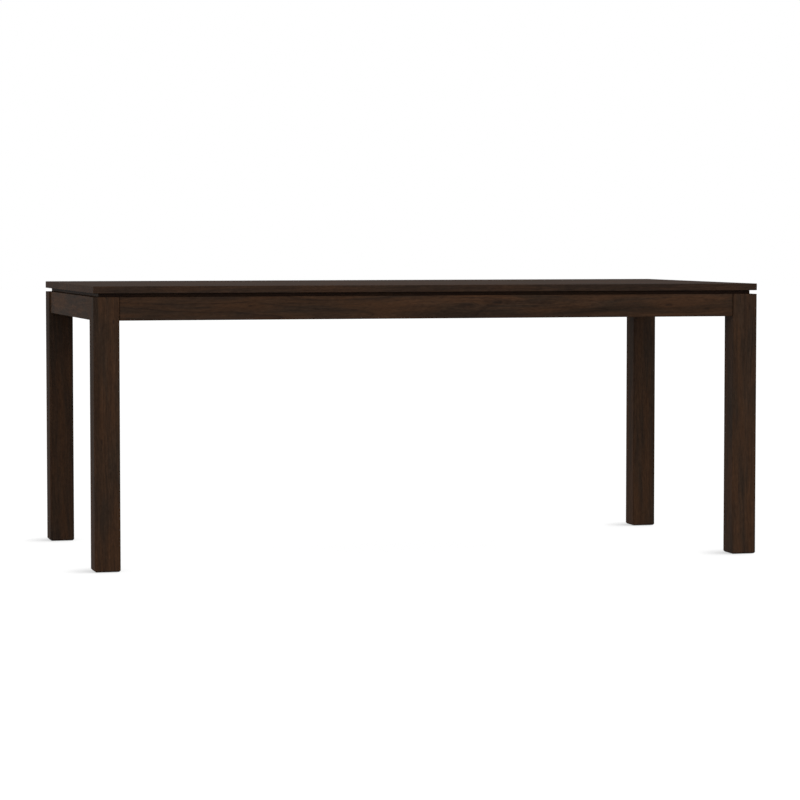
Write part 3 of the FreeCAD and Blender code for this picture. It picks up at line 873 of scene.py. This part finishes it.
def screw_dome(tree, given):
    """The low dome of a screw's head: the end of a ball, cut to the crown's width."""
    ball = add(tree, "GeometryNodeMeshUVSphere",
               {"Segments": SCREW_HEAD_SIDES, "Rings": SCREW_DOME_RINGS,
                "Radius": given["Dome curve"]})
    ball = raised(tree, ball.outputs["Mesh"], given["Dome curve"])
    crown = add(tree, "GeometryNodeMeshCylinder",
                {"Vertices": SCREW_HEAD_SIDES, "Radius": given["Crown radius"],
                 "Depth": given["Dome"]})
    middle = add(tree, "ShaderNodeMath", [given["Dome"], 0.5], operation="MULTIPLY")
    crown = raised(tree, crown.outputs["Mesh"], middle)
    return add(tree, "GeometryNodeMeshBoolean", [[ball, crown]], operation="INTERSECT",
               solver="MANIFOLD")


def cross_recess(tree, given):
    """The two crossed blades that the driver's recess is cut with."""
    deep = add(tree, "ShaderNodeMath", [given["Dome"], 2.0], operation="MULTIPLY")
    blades = []
    for wide, thin in (("X", "Y"), ("Y", "X")):
        size = add(tree, "ShaderNodeCombineXYZ",
                   {wide: given["Recess"], thin: given["Recess slot"], "Z": deep})
        blades.append(add(tree, "GeometryNodeMeshCube", {"Size": size}).outputs["Mesh"])
    return blades


def washer_head_screw(tree, given):
    """A low domed head on a broad flange, with a cross recess, over a plain shank."""
    flange = add(tree, "GeometryNodeMeshCylinder",
                 {"Vertices": SCREW_HEAD_SIDES, "Radius": given["Head radius"],
                  "Depth": given["Flange"]})
    flange = raised(tree, flange.outputs["Mesh"], given["Flange middle"])
    shank = add(tree, "GeometryNodeMeshCylinder",
                {"Vertices": SCREW_SHANK_SIDES, "Radius": given["Shank radius"],
                 "Depth": given["Length"]})
    middle = add(tree, "ShaderNodeMath", [given["Length"], 0.5, given["Shank from"]],
                 operation="MULTIPLY_ADD")
    shank = raised(tree, shank.outputs["Mesh"], middle)
    body = add(tree, "GeometryNodeMeshBoolean", [[flange, screw_dome(tree, given), shank]],
               operation="UNION", solver="MANIFOLD")
    return add(tree, "GeometryNodeMeshBoolean", [body, cross_recess(tree, given)],
               operation="DIFFERENCE", solver="MANIFOLD")


def zinc_plated_steel():
    """Bright zinc-plated steel.

    It gives the eye a pale grey metal with a soft shine and faint cloudy patches.
    """
    material, tree = new_material("zinc_plated_steel")
    source = add(tree, "ShaderNodeTexCoord")
    clouds = add(tree, "ShaderNodeTexNoise",
                 {"Vector": source.outputs["Object"], "Scale": 1 / (ZINC_CLOUD * MM),
                  "Detail": 3.0})
    dull_from, bright_from = CLOUD
    colour = add(tree, "ShaderNodeValToRGB", [clouds],
                 stops=[(dull_from, linear(ZINC_DULL)), (bright_from, linear(ZINC_BRIGHT))])
    smoothest, rougher = ZINC_ROUGH
    rough = add(tree, "ShaderNodeMath", [clouds, rougher, smoothest], operation="MULTIPLY_ADD")
    surface = add(tree, "ShaderNodeBsdfPrincipled",
                  {"Base Color": colour, "Metallic": 1.0, "Roughness": rough})
    add(tree, "ShaderNodeOutputMaterial", {"Surface": surface})
    return material


zinc = zinc_plated_steel()
repeated("leg_nuts", towards_middle, "hex_nuts", hex_nut, NUT, zinc)
repeated("leg_washers", towards_middle, "plate_washers", plate_washer, PLATE, zinc)
repeated("hanger_bolts", towards_middle, "hanger_studs", hanger_bolt, BOLT, zinc)
repeated("top_screws", upwards, "washer_head_screws", washer_head_screw, SCREW, zinc)


# --- Glides -----------------------------------------------------------------------------

def moulded_nylon():
    """Black nylon, moulded. It gives the eye a dull dark plastic with a fine grain."""
    material, tree = new_material("moulded_nylon")
    source = add(tree, "ShaderNodeTexCoord")
    grain = add(tree, "ShaderNodeTexNoise",
                {"Vector": source.outputs["Object"], "Scale": 1 / (NYLON_GRAIN * MM),
                 "Detail": 2.0})
    dark_from, pale_from = CLOUD
    colour = add(tree, "ShaderNodeValToRGB", [grain],
                 stops=[(dark_from, linear(NYLON_DARK)), (pale_from, linear(NYLON_PALE))])
    relief = add(tree, "ShaderNodeBump",
                 {"Strength": NYLON_RELIEF_STRENGTH, "Distance": NYLON_RELIEF * MM,
                  "Height": grain})
    surface = add(tree, "ShaderNodeBsdfPrincipled",
                  {"Base Color": colour, "Roughness": NYLON_ROUGH, "Normal": relief})
    add(tree, "ShaderNodeOutputMaterial", {"Surface": surface})
    return material


eased("foot_glides", moulded_nylon())


# --- Camera, light, floor ---------------------------------------------------------------

def studio_camera():
    """A long lens from a little above the top and to the left of the front."""
    camera = bpy.data.objects.new("camera", bpy.data.cameras.new("camera"))
    camera.data.sensor_width = SENSOR_WIDTH
    camera.data.lens = LENS
    camera.data.sensor_fit = "HORIZONTAL"
    camera.location = CAMERA_PLACE
    camera.rotation_euler = (SQUARE - CAMERA_DOWN, 0, CAMERA_TURN)
    bpy.context.scene.collection.objects.link(camera)
    bpy.context.scene.camera = camera


def seen_rays(tree):
    """1 for the rays that show the backdrop: the camera's, mirrored and clear ones."""
    path = add(tree, "ShaderNodeLightPath")
    seen = add(tree, "ShaderNodeMath",
               [path.outputs["Is Camera Ray"], path.outputs["Is Glossy Ray"]],
               operation="MAXIMUM")
    return add(tree, "ShaderNodeMath", [seen, path.outputs["Is Transmission Ray"]],
               operation="MAXIMUM")


def white_sky():
    """White to the eye, and for the table a soft light that is strongest from the sides."""
    world = bpy.data.worlds.new("white studio")
    world.use_nodes = True
    tree = world.node_tree
    tree.nodes.clear()
    ways = add(tree, "ShaderNodeTexCoord")
    height = add(tree, "ShaderNodeSeparateXYZ", [ways.outputs["Generated"]]).outputs["Z"]
    glow = add(tree, "ShaderNodeMapRange",
               {"Value": height, "From Min": 0.0, "From Max": 1.0,
                "To Min": SKY_AT_HORIZON, "To Max": SKY_OVERHEAD})
    strength = add(tree, "ShaderNodeMix", {"Factor": seen_rays(tree), "A": glow, "B": 1.0})
    sky = add(tree, "ShaderNodeBackground", {"Color": grey(1.0), "Strength": strength})
    add(tree, "ShaderNodeOutputWorld", {"Surface": sky})
    bpy.context.scene.world = world


def matt_floor_paint():
    """Matt white paint, which keeps the table's shadow and has a small painted shadow at each
    foot.
    """
    material, tree = new_material("matt_white_studio_floor")
    # Painted shadow: beside a foot, ambient occlusion turned to one side lowers the glow.
    painted_shadow_from = add(tree, "ShaderNodeCombineXYZ", PAINTED_SHADOW_FROM)
    painted_shade_ao = add(tree, "ShaderNodeAmbientOcclusion",
                   {"Distance": CONTACT_REACH, "Normal": painted_shadow_from}, samples=OPEN_AIR_SAMPLES)
    clear = add(tree, "ShaderNodeMapRange",
                {"Value": painted_shade_ao.outputs["AO"], "From Min": CONTACT_CLOSED,
                 "From Max": CONTACT_OPEN, "To Min": CONTACT_GLOW, "To Max": FLOOR_GLOW})
    seen = seen_rays(tree)
    strength = add(tree, "ShaderNodeMath", [seen, clear], operation="MULTIPLY")
    glow = add(tree, "ShaderNodeEmission", {"Color": grey(1.0), "Strength": strength})
    shade = add(tree, "ShaderNodeMix",
                {"Factor": seen, "A": linear(FLOOR_COLOUR), "B": linear(FLOOR_SEEN_COLOUR)},
                data_type="RGBA")
    paint = add(tree, "ShaderNodeBsdfDiffuse", {"Color": shade})
    both = add(tree, "ShaderNodeAddShader", [paint, glow])
    add(tree, "ShaderNodeOutputMaterial", {"Surface": both})
    return material


def studio_floor():
    """A square floor that reaches far past what the camera sees."""
    mesh = bpy.data.meshes.new("floor")
    corners = [(-FLOOR_HALF, -FLOOR_HALF, 0), (FLOOR_HALF, -FLOOR_HALF, 0),
               (FLOOR_HALF, FLOOR_HALF, 0), (-FLOOR_HALF, FLOOR_HALF, 0)]
    mesh.from_pydata(corners, [], [(0, 1, 2, 3)])
    mesh.materials.append(matt_floor_paint())
    floor = bpy.data.objects.new("floor", mesh)
    bpy.context.scene.collection.objects.link(floor)


studio_camera()
white_sky()
studio_floor()
bpy.context.scene.view_settings.view_transform = "Standard"
